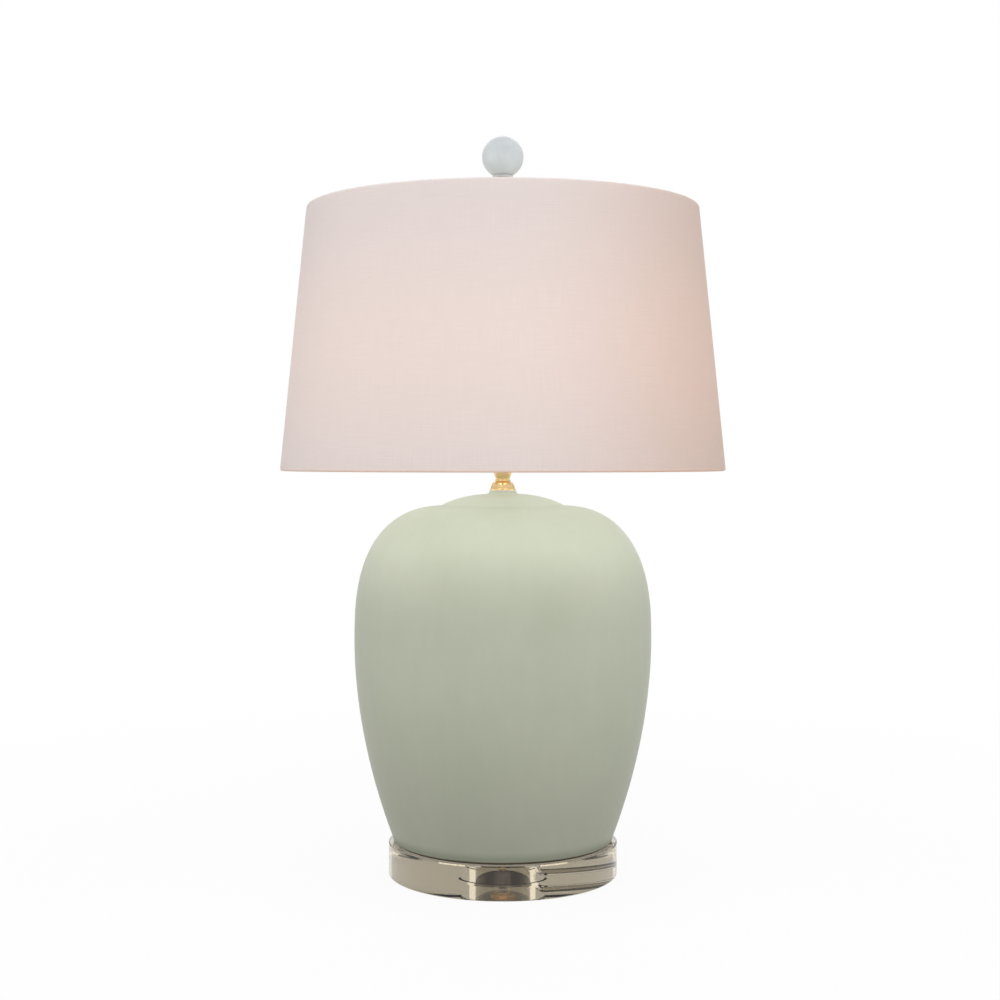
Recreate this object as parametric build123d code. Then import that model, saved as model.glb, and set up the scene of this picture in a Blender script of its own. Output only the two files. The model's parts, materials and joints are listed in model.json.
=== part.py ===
from build123d import *
import math
import os

# Ginger jar table lamp on a clear acrylic disc, with an empire hardback shade.
# Millimetres, +Z up, origin at the centre of the disc's underside.
# The front is -Y, the right-hand side +X. The harp's legs stand at -X and +X.

# ---------------------------------------------------------------- driving sizes
seat_gap = 0.2            # between flat faces of pieces that move apart
thread_fit = 0.05         # radial, between a screwed rod and its nut
swivel_fit = 0.05         # radial, a pin that turns in its bore
lining_gap = 0.05         # between a wall and the sleeve that lines it

# clear acrylic disc
base_d = 222.25
base_h = 31.75
base_edge = 1.0
cavity_d = 54.0           # turned out from below for the nut
cavity_depth = 18.0
felt_t = 1.2
felt_lip = 1.5            # the felt's step is this much wider than the cavity
felt_recess = 0.1         # the felt's face lies this far inside the disc's underside
channel_d = 6.35          # cord channel, drilled from the side to the cavity
channel_z = 8.0

# threaded rod and the fixings at its foot
rod_d = 9.5
rod_bore = 6.0
rod_play = 0.6            # radial, in drilled acrylic and porcelain
washer_d = 25.4
washer_t = 1.5
nut_flats = 14.3
nut_t = 5.0
nut_chamfer = 0.6
rod_tail = 2.4            # rod end below the nut
rod_head_in = 1.0         # rod's top end below the top of the socket cap's hub

# porcelain jar
foot_pad_t = 1.0
foot_pad_w = 14.0
foot_pad_in = 1.0         # pad's edge inside the flat of the foot ring
jar_foot_r = 106.5
jar_foot_round = 2.2
jar_foot_ring_w = 16.0
jar_foot_rise = 3.0       # underside inside the foot ring stands this much higher
jar_belly_r = 144.4
jar_belly_z = 228.0
jar_seat_r = 60.5
jar_seat_z = 357.0
jar_wall = 6.0
jar_floor = 8.0
jar_mouth_r = 50.0
jar_lower_power = 1.91    # how the belly swells from the foot
jar_upper_power = 2.65    # how the shoulder turns over, along and across
jar_upper_root = 2.2

# lid, with the boss that carries the neck
lid_r = 59.5
lid_edge_h = 0.9
lid_edge_round = 0.5
lid_mid_r = 42.0
lid_mid_h = 7.6
lid_top_h = 12.2          # dome's height at the foot of the boss
lid_wall = 5.0
lid_hollow_mid_r = 32.0   # a point on the lid's inner curve
lid_hollow_mid_h = 4.0
lid_skirt_h = 9.0
lid_skirt_play = 1.2
lid_skirt_w = 4.0
boss_r = 13.2
boss_cove = 1.6
boss_edge = 0.4
boss_h = 14.0             # above the lid's seat
collar_ring_r = 12.9
collar_ring_t = 1.4

# turned brass neck: radii and heights above its foot, from the foot up
neck_h = 23.6
neck_foot_r = 12.7
neck_foot_h = 0.9
neck_lip_r = 12.0
neck_lip_h = 1.5
neck_cove_r = 11.2
neck_cove_h = 4.4
neck_throat_r = 9.4
neck_throat_h = 7.3
neck_bead_r = 7.7
neck_bead_h = 9.1
neck_bead_in = 0.5        # the bead stands this far out of the neck
neck_bead_half = 0.8      # and is this high each way
neck_waist_r = 6.9
neck_waist_h = 11.0
neck_swell_r = 8.3
neck_swell_h = 14.8
neck_flare_r = 9.2
neck_flare_h = 17.8
neck_cap_r = 10.6
neck_cap_h = 19.4
neck_edge = 0.6
neck_rod_play = 0.3

# harp and its saddle
saddle_t = 1.5
saddle_strip_w = 8.0
saddle_hub_r = 10.4
harp_size = 241.3         # saddle's underside to the shade's seat
harp_foot_x = 27.8
harp_wire_d = 4.0
harp_belly_x = 57.0
harp_leg_h = 34.0
harp_lower_bend_h = 80.0
harp_upper_bend_h = 178.0
harp_top_x = 32.0
harp_leg_bend_r = 25.0
harp_lower_bend_r = 40.0
harp_upper_bend_r = 80.0
harp_corner_r = 22.0
prong_w = 6.4
prong_h = 13.0
sleeve_h = 14.0
sleeve_wall = 0.8
sleeve_play = 0.4
sleeve_corner = 0.8
harp_plate_r = 7.5
harp_plate_t = 4.0
swivel_pin_r = 2.4
stud_flange_r = 9.5
stud_flange_t = 1.5
stud_d = 6.35
stud_h = 12.0
stud_edge = 0.7
stud_rivet_r = 3.8
stud_rivet_t = 1.0

# lamp socket
hub_r = 7.2
hub_h = 8.5
cap_wall = 0.8
cap_bowl_h = 8.0
cap_rim_h = 5.0
cap_sag_r = 8.5           # a point on the bowl's curve, from the hub's top edge
cap_sag_h = 2.4
cap_ledge = 1.4           # the shell's lower edge rests on it
shell_r = 19.5
shell_wall = 0.6
shell_h = 42.0
shell_bead_r = 0.9
liner_wall = 0.8
liner_rise = 0.5          # liner inside the two ends of the shell
liner_short = 2.0
core_r = 15.5
core_flange_t = 2.2
core_flange_play = 0.3
core_h = 22.0
core_flat_x = 12.5
core_seat_lip = 0.6       # round seat under the screw shell
core_seat_in = 3.0
core_seat_t = 2.0
core_rise = 1.5           # core's foot above the foot of the shell
screw_shell_wall = 0.7
screw_shell_h = 19.0
contact_w = 5.0
contact_t = 0.6
contact_rise = 3.2
contact_foot_x = -3.6     # where the tongue starts, bends up and levels out, and ends
contact_bend_x = -1.6
contact_nose_x = 3.4
contact_slope_l = 1.6
terminal_r = 3.1
terminal_t = 2.4
terminal_rise = 7.0       # above the core's foot
slot_w = 0.8              # screwdriver slots
slot_depth = 0.7
set_screw_r = 1.6
set_screw_l = 2.1
set_screw_play = 0.3      # screw's inner end to the rod

# turn switch
switch_rise = 11.5        # above the core's foot
switch_pin_r = 2.0
switch_pin_in = 7.0       # inner end from the axis
knob_gap = 3.6            # from the shell to the knob
knob_l = 16.0
knob_r = 6.4
knob_nose_round = 1.6
knob_flutes = 14
knob_flute_r = 0.75
knob_flute_out = 0.2      # a flute's centre outside the barrel
knob_end_play = 0.3       # pin's outer end to the bottom of the knob's socket
knob_socket_l = 8.0
shaft_window_r = 4.2

# bulb
bulb_cap_r = 13.2
bulb_play = 0.3           # radial, bulb cap in the socket's screw shell
bulb_h = 108.0
bulb_tip_r = 4.6
bulb_tip_t = 1.5
bulb_tip_round = 1.0
bulb_tip_lip = 0.6        # insulator stands this far round the tip
bulb_insulator_h = 4.0
bulb_insulator_r = 10.4
bulb_floor_in = 1.5       # the cap's floor laps this far over the insulator
bulb_cap_h = 20.0
bulb_cap_wall = 0.6
bulb_glass_r = 30.0
bulb_neck_r = 14.2
bulb_neck_h = 27.0
bulb_glass_in = 2.5       # glass below the cap's rim
bulb_glass_wall = 0.9
stem_r = 3.0
stem_h = 26.0
stem_foot_t = 1.2
filament_lead_r = 0.5
filament_lead_h = 27.0
filament_half = 11.0
filament_foot = 1.6       # leads leave the stem this far from its middle
filament_crook = 6.0      # straight ends of the leads below the wire
filament_bend_r = 2.4

# shade
shade_h = 254.8
shade_rise = 8.8          # top edge above the fitter's seat
shade_bottom_r = 215.9
shade_top_r = 190.5
shade_cloth_t = 0.6
shade_liner_t = 0.8
shade_wire_d = 3.2
arm_d = 3.0
arm_count = 3
arm_start = 30.0
arm_bend_in = 24.0        # from the top ring to where the arm starts to rise
arm_bend_out = 9.0
arm_bend_r = 6.0
fitter_r = 10.5
fitter_t = 2.0
fitter_hole_play = 0.45
liner_hem_gap = 0.3       # liner's edges to the rolled hems
arm_notch_play = 0.2      # round each arm, where it passes the rolled hem

# finial
finial_foot_r = 9.0
finial_foot_t = 1.6
finial_foot_step = 1.2
finial_neck_r = 5.4
finial_neck_h = 7.5
finial_bulge_r = 7.8
finial_bulge_h = 15.0
finial_waist_r = 4.2
finial_waist_h = 27.0
finial_cup_r = 8.8
finial_cup_h = 37.5
finial_cup_edge = 1.2
finial_spike_r = 2.0
finial_spike_h = 14.0
finial_thread_depth = 13.0
stone_collar_r = 10.0
stone_collar_t = 3.4
stone_collar_edge = 0.6
ball_lift = 0.4           # ball's lowest point above the brass cup
ball_r = 20.3

# ---------------------------------------------------------------- levels, from the sizes above
cavity_r = cavity_d / 2
rod_r = rod_d / 2
wire_r = harp_wire_d / 2
stud_r = stud_d / 2

nut_z = cavity_depth - washer_t - nut_t
rod_foot_z = nut_z - rod_tail
foot_z = base_h + foot_pad_t
boss_z = jar_seat_z + boss_h
neck_z = boss_z + collar_ring_t
neck_top_z = neck_z + neck_h
saddle_top_z = neck_top_z + saddle_t

harp_foot_z = saddle_top_z + seat_gap
fitter_z = neck_top_z + harp_size
flange_z = fitter_z - seat_gap - stud_flange_t
harp_plate_top_z = flange_z - seat_gap
harp_top_z = harp_plate_top_z - wire_r

hub_top_z = saddle_top_z + hub_h
cap_bowl_z = hub_top_z + cap_bowl_h
shell_z = cap_bowl_z
shell_top_z = shell_z + shell_h
shell_in_r = shell_r - shell_wall
liner_r = shell_in_r - lining_gap
liner_in_r = liner_r - liner_wall
core_z = shell_z + core_rise
core_top_z = core_z + core_h
switch_z = core_z + switch_rise
screw_shell_in_r = bulb_cap_r + bulb_play
screw_shell_r = screw_shell_in_r + screw_shell_wall

bulb_z = core_top_z + contact_rise + seat_gap
bulb_cap_z = bulb_z + bulb_tip_t + bulb_insulator_h
bulb_cap_top_z = bulb_cap_z + bulb_cap_h
bulb_centre_z = bulb_z + bulb_h - bulb_glass_r
bulb_neck_z = bulb_z + bulb_neck_h

shade_top_z = fitter_z + shade_rise
shade_bottom_z = shade_top_z - shade_h
shade_wire_r = shade_wire_d / 2
hem_r = shade_wire_r + shade_cloth_t
arm_r = arm_d / 2

finial_z = fitter_z + fitter_t + seat_gap
finial_top_z = finial_z + finial_cup_h
ball_z = finial_top_z + ball_lift + ball_r

parts = {}


# ---------------------------------------------------------------- helpers
def at(r, z):
    """A point of a turned profile: radius and height."""
    return Vector(r, 0, z)


def run(*points):
    """Straight edges through profile points."""
    return Polyline(*[at(r, z) for r, z in points]).edges()


def rounding(start, end, centre):
    """An arc from one profile point to another about a centre point."""
    radius = math.dist(start, centre)
    across = ((start[0] + end[0]) / 2 - centre[0], (start[1] + end[1]) / 2 - centre[1])
    reach = radius / math.hypot(*across)
    return ThreePointArc(at(*start), at(centre[0] + across[0] * reach, centre[1] + across[1] * reach), at(*end))


def turned(*edges):
    """The solid that a closed profile sweeps about the lamp's axis."""
    profile = [edge for group in edges for edge in (group if hasattr(group, "__iter__") else [group])]
    return revolve(make_face(profile), Axis.Z)


def arcs_along(curve, spans):
    """Tangent arcs, two to a span, along a smooth curve that gives (radius, height) for 0 to 1."""
    step = 1e-6
    stops = []
    for k in range(spans + 1):
        u = k / spans
        behind, ahead = Vector(*curve(max(u - step, 0))), Vector(*curve(min(u + step, 1)))
        stops.append((Vector(*curve(u)), (ahead - behind).normalized()))
    arcs = []
    for (start, leave), (end, arrive) in zip(stops, stops[1:]):
        chord, spread = end - start, 1 - leave.dot(arrive)
        along = chord.dot(leave + arrive)
        reach = (math.sqrt(along ** 2 + 2 * spread * chord.dot(chord)) - along) / (2 * spread)
        middle = (start + leave * reach + end - arrive * reach) / 2
        first = TangentArc(at(start.X, start.Y), at(middle.X, middle.Y), tangent=at(leave.X, leave.Y))
        arcs += [first, TangentArc(first @ 1, at(end.X, end.Y), tangent=first % 1)]
    return arcs


def disc(radius, z0, z1):
    """A plain round slug between two heights."""
    return Pos(0, 0, (z0 + z1) / 2) * Cylinder(radius, z1 - z0)


def ring(outer, inner, z0, z1):
    """A plain round ring between two heights."""
    return disc(outer, z0, z1) - disc(inner, z0, z1)


def torus(centre_r, centre_z, radius):
    """A round wire bent to a ring, or the bead of that shape."""
    return Pos(0, 0, centre_z) * Torus(centre_r, radius)


def keep(node, *solids):
    """File a node's solids under its name."""
    found = [solid for shape in solids for solid in shape.solids()]
    parts[node] = found[0] if len(found) == 1 else Compound(children=found)


# ---------------------------------------------------------------- base
def clear_disc():
    body = disc(base_d / 2, 0, base_h)
    body = chamfer(body.edges().filter_by(GeomType.CIRCLE), base_edge)
    body -= disc(cavity_r, 0, cavity_depth)
    body -= disc(cavity_r + felt_lip, 0, felt_t)
    body -= disc(rod_r + rod_play, 0, base_h)
    half = base_d / 4
    channel = Pos(half, 0, channel_z) * Rot(0, 90, 0) * Cylinder(channel_d / 2, base_d / 2)
    return body - channel


def hex_nut(z, thickness):
    blank = extrude(Pos(0, 0, z) * RegularPolygon(nut_flats / 2, 6, major_radius=False), thickness)
    corner_r = nut_flats / math.sqrt(3)
    cone = turned(run((0, z), (corner_r - nut_chamfer, z), (corner_r, z + nut_chamfer),
                      (corner_r, z + thickness - nut_chamfer), (corner_r - nut_chamfer, z + thickness),
                      (0, z + thickness), (0, z)))
    return (blank & cone) - disc(rod_r + thread_fit, z, z + thickness)


keep("acrylic_base", clear_disc())
keep("base_felt", disc(cavity_r + felt_lip - lining_gap, felt_recess, felt_t))
keep("base_washer", ring(washer_d / 2, rod_r + neck_rod_play, nut_z + nut_t, cavity_depth))
keep("base_nut", hex_nut(nut_z, nut_t))
keep("threaded_rod", ring(rod_r, rod_bore / 2, rod_foot_z, hub_top_z - rod_head_in))
foot_pad_r = jar_foot_r - jar_foot_round - foot_pad_in
keep("foot_pad", ring(foot_pad_r, foot_pad_r - foot_pad_w, base_h, foot_z))


# ---------------------------------------------------------------- jar and lid
def belly_arcs(inset, z0, z1):
    """The jar's outline between two heights, moved in by a wall.

    Below the belly the radius falls off with the distance from the belly to a power. Above it
    a rounded curve turns over into the seat of the lid, a quarter turn from belly to seat.
    """
    def lower(u):
        z = z0 + (jar_belly_z - z0) * u
        share = (jar_belly_z - z) / (jar_belly_z - foot_z - jar_foot_round)
        return jar_belly_r - (jar_belly_r - jar_foot_r) * share ** jar_lower_power - inset, z

    def upper(u):
        across = math.cos(math.pi / 2 * u) ** (2 / jar_upper_root)
        along = math.sin(math.pi / 2 * u) ** (2 / jar_upper_power)
        return jar_seat_r + (jar_belly_r - inset - jar_seat_r) * across, jar_belly_z + (z1 - jar_belly_z) * along

    return arcs_along(lower, 3) + arcs_along(upper, 5)


def porcelain_jar():
    outer_foot_r = jar_foot_r - jar_foot_round
    ring_in_r = jar_foot_r - jar_foot_ring_w
    under_z = foot_z + jar_foot_rise
    foot_round = rounding((outer_foot_r, foot_z), (jar_foot_r, foot_z + jar_foot_round),
                          (outer_foot_r, foot_z + jar_foot_round))
    body = turned(run((0, under_z), (ring_in_r, under_z), (ring_in_r, foot_z), (outer_foot_r, foot_z)),
                  foot_round, belly_arcs(0, foot_z + jar_foot_round, jar_seat_z),
                  run((jar_seat_r, jar_seat_z), (0, jar_seat_z), (0, under_z)))
    floor_z = under_z + jar_floor
    roof_z = jar_seat_z - jar_wall
    inside = belly_arcs(jar_wall, floor_z, roof_z)
    floor_edge = inside[0] @ 0
    body -= turned(run((0, roof_z), (0, floor_z), (floor_edge.X, floor_z)), inside,
                   run((jar_seat_r, roof_z), (0, roof_z)))
    body -= disc(jar_mouth_r, jar_seat_z - 2 * jar_wall, jar_seat_z)
    return body - disc(rod_r + rod_play, foot_z, floor_z)


def porcelain_lid():
    seat = jar_seat_z
    dome_z = seat + lid_top_h
    cove_r = boss_r + boss_cove
    outer = turned(
        run((0, seat), (lid_r - lid_edge_round, seat)),
        rounding((lid_r - lid_edge_round, seat), (lid_r, seat + lid_edge_round),
                 (lid_r - lid_edge_round, seat + lid_edge_round)),
        run((lid_r, seat + lid_edge_round), (lid_r, seat + lid_edge_h)),
        ThreePointArc(at(lid_r, seat + lid_edge_h), at(lid_mid_r, seat + lid_mid_h), at(cove_r, dome_z)),
        run((cove_r, dome_z), (boss_r, boss_z - boss_edge), (boss_r - boss_edge, boss_z), (0, boss_z), (0, seat)))
    inner_top = dome_z - lid_wall
    skirt_r = jar_mouth_r - lid_skirt_play
    skirt_in_r = skirt_r - lid_skirt_w
    hollow = turned(
        run((0, seat), (skirt_in_r, seat)),
        ThreePointArc(at(skirt_in_r, seat), at(lid_hollow_mid_r, seat + lid_hollow_mid_h), at(cove_r, inner_top)),
        run((cove_r, inner_top), (0, inner_top), (0, seat)))
    skirt = ring(skirt_r, skirt_in_r, seat - lid_skirt_h, seat + lid_edge_round)
    return (outer - hollow) + skirt - disc(rod_r + rod_play, inner_top, boss_z)


def brass_neck():
    """Foot lip, cove, bead, waist and flare, turned round the rod's hole."""
    hole_r = rod_r + neck_rod_play
    z = neck_z
    bead_root_r = neck_bead_r - neck_bead_in
    bead_low = z + neck_bead_h - neck_bead_half
    bead_high = z + neck_bead_h + neck_bead_half
    foot = run((hole_r, z), (neck_foot_r, z), (neck_foot_r, z + neck_foot_h), (neck_lip_r, z + neck_lip_h))
    cove = Spline(at(neck_lip_r, z + neck_lip_h), at(neck_cove_r, z + neck_cove_h),
                  at(neck_throat_r, z + neck_throat_h), at(bead_root_r, bead_low))
    bead = ThreePointArc(at(bead_root_r, bead_low), at(neck_bead_r, z + neck_bead_h), at(bead_root_r, bead_high))
    flare = Spline(at(bead_root_r, bead_high), at(neck_waist_r, z + neck_waist_h),
                   at(neck_swell_r, z + neck_swell_h), at(neck_flare_r, z + neck_flare_h))
    top = run((neck_flare_r, z + neck_flare_h), (neck_cap_r, z + neck_cap_h), (neck_cap_r, neck_top_z - neck_edge),
              (neck_cap_r - neck_edge, neck_top_z), (hole_r, neck_top_z), (hole_r, z))
    return turned(foot, cove, bead, flare, top)


keep("jar_body", porcelain_jar())
keep("jar_lid", porcelain_lid())
keep("collar_ring", ring(collar_ring_r, rod_r + neck_rod_play, boss_z, neck_z))
keep("brass_neck", brass_neck())


# ---------------------------------------------------------------- harp
def harp_saddle():
    tab_x = harp_foot_x - wire_r - seat_gap - saddle_t / 2
    strip_l = 2 * (tab_x + saddle_t / 2)
    middle = (neck_top_z + saddle_top_z) / 2
    body = Pos(0, 0, middle) * Box(strip_l, saddle_strip_w, saddle_t)
    body += disc(saddle_hub_r, neck_top_z, saddle_top_z)
    for side in (-1, 1):
        body += Pos(side * tab_x, 0, neck_top_z + (prong_h + saddle_t) / 2) * Box(
            saddle_t, prong_w, prong_h + saddle_t)
    return body - disc(rod_r + neck_rod_play, neck_top_z, saddle_top_z)


def harp_bow():
    half = [(harp_foot_x, harp_foot_z), (harp_foot_x, harp_foot_z + harp_leg_h),
            (harp_belly_x, harp_foot_z + harp_lower_bend_h), (harp_belly_x, harp_foot_z + harp_upper_bend_h),
            (harp_top_x, harp_top_z)]
    bends = [harp_leg_bend_r, harp_lower_bend_r, harp_upper_bend_r, harp_corner_r]
    points = [at(x, z) for x, z in half] + [at(-x, z) for x, z in reversed(half)]
    path = FilletPolyline(*points, radius=bends + bends[::-1])
    section = Plane(origin=at(harp_foot_x, harp_foot_z), z_dir=(0, 0, 1)) * Circle(wire_r)
    bow = sweep(section, path=path)
    bow += disc(harp_plate_r, harp_plate_top_z - harp_plate_t, harp_plate_top_z)
    return bow - disc(swivel_pin_r + swivel_fit, harp_plate_top_z - harp_plate_t, harp_plate_top_z)


def harp_sleeve(side):
    inner_x0 = harp_foot_x - wire_r - seat_gap - saddle_t - sleeve_play
    inner_x1 = harp_foot_x + wire_r + sleeve_play
    inner_l = inner_x1 - inner_x0
    inner_w = prong_w + 2 * sleeve_play
    centre = Pos(side * (inner_x0 + inner_x1) / 2, 0, harp_foot_z)
    outside = Rectangle(inner_l + 2 * sleeve_wall, inner_w + 2 * sleeve_wall)
    outside = fillet(outside.vertices(), sleeve_corner + sleeve_wall)
    inside = fillet(Rectangle(inner_l, inner_w).vertices(), sleeve_corner)
    return extrude(centre * (outside - inside), sleeve_h)


def swivel_stud():
    body = disc(stud_flange_r, flange_z, flange_z + stud_flange_t)
    body += disc(stud_r, flange_z, fitter_z + stud_h)
    body = chamfer(body.edges().group_by(Axis.Z)[-1], stud_edge)
    pin_foot = harp_plate_top_z - harp_plate_t - seat_gap
    body += disc(swivel_pin_r, pin_foot, flange_z)
    return body + disc(stud_rivet_r, pin_foot - stud_rivet_t, pin_foot)


keep("harp_saddle", harp_saddle())
keep("harp_bow", harp_bow())
keep("harp_sleeve_left", harp_sleeve(-1))
keep("harp_sleeve_right", harp_sleeve(1))
keep("harp_swivel_stud", swivel_stud())


# ---------------------------------------------------------------- socket
def socket_cap():
    rim_r = shell_r + lining_gap + cap_wall
    inside_r = rim_r - cap_wall
    rim_top = cap_bowl_z + cap_rim_h
    floor_z = hub_top_z + cap_wall
    outside = turned(
        run((0, saddle_top_z), (hub_r, saddle_top_z), (hub_r, hub_top_z)),
        ThreePointArc(at(hub_r, hub_top_z), at(hub_r + cap_sag_r, hub_top_z + cap_sag_h), at(rim_r, cap_bowl_z)),
        run((rim_r, cap_bowl_z), (rim_r, rim_top), (0, rim_top), (0, saddle_top_z)))
    inside = turned(
        run((0, floor_z), (hub_r, floor_z)),
        ThreePointArc(at(hub_r, floor_z), at(hub_r + cap_sag_r - cap_wall / 2, floor_z + cap_sag_h),
                      at(inside_r - cap_ledge, cap_bowl_z)),
        run((inside_r - cap_ledge, cap_bowl_z), (inside_r, cap_bowl_z), (inside_r, rim_top), (0, rim_top),
            (0, floor_z)))
    body = outside - inside - disc(rod_r + thread_fit, saddle_top_z, floor_z)
    screw_z = (saddle_top_z + hub_top_z) / 2
    return body - Pos(0, hub_r, screw_z) * Rot(90, 0, 0) * Cylinder(set_screw_r + thread_fit, 2 * hub_r)


def set_screw():
    """A headless screw in the hub's back, slotted across its outer end."""
    screw_z = (saddle_top_z + hub_top_z) / 2
    start = rod_r + set_screw_play
    body = Pos(0, start + set_screw_l / 2, screw_z) * Rot(90, 0, 0) * Cylinder(set_screw_r, set_screw_l)
    return body - Pos(0, start + set_screw_l, screw_z) * Box(2 * set_screw_r, 2 * slot_depth, slot_w)


def shaft_window(radius):
    """A round way through the socket's front wall for the switch's pin."""
    return Pos(0, -shell_r, switch_z) * Rot(90, 0, 0) * Cylinder(radius, shell_r)


def socket_shell():
    tube = ring(shell_r, shell_in_r, shell_z, shell_top_z)
    bead = torus(shell_r - shell_wall / 2, shell_top_z, shell_bead_r)
    return tube + bead - shaft_window(shaft_window_r)


def socket_liner():
    tube = ring(liner_r, liner_in_r, shell_z + liner_rise, shell_top_z - liner_short)
    return tube - shaft_window(shaft_window_r)


def socket_core():
    body = disc(core_r, core_z, core_top_z)
    body &= Pos(0, 0, (core_z + core_top_z) / 2) * Box(2 * core_flat_x, 4 * core_r, core_h)
    body += disc(liner_in_r - core_flange_play, core_z, core_z + core_flange_t)
    body += ring(screw_shell_r + core_seat_lip, screw_shell_r - core_seat_in, core_top_z - core_seat_t, core_top_z)
    way_l = 2 * (core_r - switch_pin_in + seat_gap)
    return body - Pos(0, -core_r, switch_z) * Rot(90, 0, 0) * Cylinder(switch_pin_r + swivel_fit, way_l)


def socket_screw_shell():
    cup = ring(screw_shell_r, screw_shell_in_r, core_top_z, core_top_z + screw_shell_h)
    floor = ring(screw_shell_r, contact_w, core_top_z, core_top_z + screw_shell_wall)
    return cup + floor


def centre_contact():
    """A spring tongue: flat on the core, then raised under the bulb's tip."""
    low, high = core_top_z, core_top_z + contact_rise
    level_x = contact_bend_x + contact_slope_l
    thin = contact_t / 2
    outline = [(contact_foot_x, low), (contact_bend_x + thin, low), (level_x + thin, high - contact_t),
               (contact_nose_x, high - contact_t), (contact_nose_x, high), (level_x - thin, high),
               (contact_bend_x - thin, low + contact_t), (contact_foot_x, low + contact_t),
               (contact_foot_x, low)]
    return extrude(make_face(run(*outline)), contact_w / 2, both=True)


def terminal_screws():
    screws = []
    for side in (-1, 1):
        face_x = side * (core_flat_x + terminal_t)
        head = Pos(side * (core_flat_x + terminal_t / 2), 0, core_z + terminal_rise) * Rot(0, 90, 0) * Cylinder(
            terminal_r, terminal_t)
        slot = Pos(face_x, 0, core_z + terminal_rise) * Box(2 * slot_depth, 2 * terminal_r, slot_w)
        screws.append(head - slot)
    return screws


knob_y = -(shell_r + knob_gap)


def switch_pin():
    length = -knob_y + knob_socket_l - knob_end_play - switch_pin_in
    centre_y = -(switch_pin_in + length / 2)
    return Pos(0, centre_y, switch_z) * Rot(90, 0, 0) * Cylinder(switch_pin_r, length)


def switch_knob():
    """A ribbed knob: flutes cut along a round barrel whose nose is rounded."""
    barrel = Cylinder(knob_r, knob_l)
    barrel = fillet(barrel.edges().filter_by(GeomType.CIRCLE).sort_by(Axis.Z)[-1], knob_nose_round)
    flutes = PolarLocations(knob_r + knob_flute_out, knob_flutes)
    barrel -= flutes * Cylinder(knob_flute_r, knob_l)
    socket = Pos(0, 0, (knob_socket_l - knob_l) / 2) * Cylinder(switch_pin_r + lining_gap, knob_socket_l)
    return Pos(0, knob_y - knob_l / 2, switch_z) * Rot(90, 0, 0) * (barrel - socket)


keep("socket_cap", socket_cap())
keep("socket_set_screw", set_screw())
keep("socket_shell", socket_shell())
keep("socket_liner", socket_liner())
keep("socket_core", socket_core())
keep("socket_screw_shell", socket_screw_shell())
keep("socket_contact", centre_contact())
keep("terminal_screws", *terminal_screws())
keep("switch_pin", switch_pin())
keep("switch_knob", switch_knob())


# ---------------------------------------------------------------- bulb
def glass_form(radius, neck_r, bottom_z):
    """A straight neck and a cone that runs on at a tangent into a sphere."""
    reach = bulb_centre_z - bulb_neck_z
    span = math.hypot(neck_r, reach)
    lean = math.atan2(neck_r, reach)
    swing = math.acos(radius / span)
    touch = lean + swing - math.pi / 2
    touch_at = (radius * math.cos(touch), bulb_centre_z + radius * math.sin(touch))
    middle = (touch + math.pi / 2) / 2
    through = (radius * math.cos(middle), bulb_centre_z + radius * math.sin(middle))
    top = (0, bulb_centre_z + radius)
    return turned(run((0, bottom_z), (neck_r, bottom_z), (neck_r, bulb_neck_z), touch_at),
                  ThreePointArc(at(*touch_at), at(*through), at(*top)), run(top, (0, bottom_z)))


def bulb_glass():
    low = bulb_cap_top_z - bulb_glass_in
    neck = bulb_cap_r - bulb_cap_wall - lining_gap
    shoulder = bulb_cap_top_z + bulb_glass_wall
    skin = glass_form(bulb_glass_r, bulb_neck_r, bulb_cap_top_z) + disc(neck, low, bulb_cap_top_z)
    hollow = glass_form(bulb_glass_r - bulb_glass_wall, bulb_neck_r - bulb_glass_wall, shoulder)
    hollow += disc(neck - bulb_glass_wall, low, shoulder)
    return skin - hollow


def bulb_cap():
    cup = ring(bulb_cap_r, bulb_cap_r - bulb_cap_wall, bulb_cap_z, bulb_cap_top_z)
    return cup + ring(bulb_cap_r, bulb_insulator_r - bulb_floor_in, bulb_cap_z, bulb_cap_z + bulb_cap_wall)


def bulb_insulator():
    low = bulb_z + bulb_tip_t
    return turned(run((0, low), (bulb_tip_r + bulb_tip_lip, low), (bulb_insulator_r, bulb_cap_z),
                      (0, bulb_cap_z), (0, low)))


def bulb_tip():
    flat_r = bulb_tip_r - bulb_tip_round
    round_z = bulb_z + bulb_tip_round
    return turned(run((0, bulb_z), (flat_r, bulb_z)),
                  rounding((flat_r, bulb_z), (bulb_tip_r, round_z), (flat_r, round_z)),
                  run((bulb_tip_r, round_z), (bulb_tip_r, bulb_z + bulb_tip_t), (0, bulb_z + bulb_tip_t),
                      (0, bulb_z)))


def bulb_stem():
    inside = bulb_cap_r - bulb_cap_wall - lining_gap - bulb_glass_wall - lining_gap
    foot = bulb_cap_top_z - bulb_glass_in
    return disc(inside, foot, foot + stem_foot_t) + disc(stem_r, foot, foot + stem_h)


def bulb_filament():
    """Two support leads out of the stem and the wire that they hold in an arch."""
    low = bulb_cap_top_z - bulb_glass_in + stem_h + lining_gap + filament_lead_r
    high = low + filament_lead_h
    half = [(filament_foot, low), (filament_half, high - filament_crook), (filament_half, high)]
    path = FilletPolyline(*[at(-x, z) for x, z in half], *[at(x, z) for x, z in reversed(half)],
                          radius=filament_bend_r)
    section = Plane(origin=path @ 0, z_dir=path % 0) * Circle(filament_lead_r)
    return sweep(section, path=path)


keep("bulb_glass", bulb_glass())
keep("bulb_cap", bulb_cap())
keep("bulb_insulator", bulb_insulator())
keep("bulb_tip", bulb_tip())
keep("bulb_stem", bulb_stem())
keep("bulb_filament", bulb_filament())


# ---------------------------------------------------------------- shade
slant = math.hypot(shade_h, shade_bottom_r - shade_top_r)
lean_cos = shade_h / slant


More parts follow.
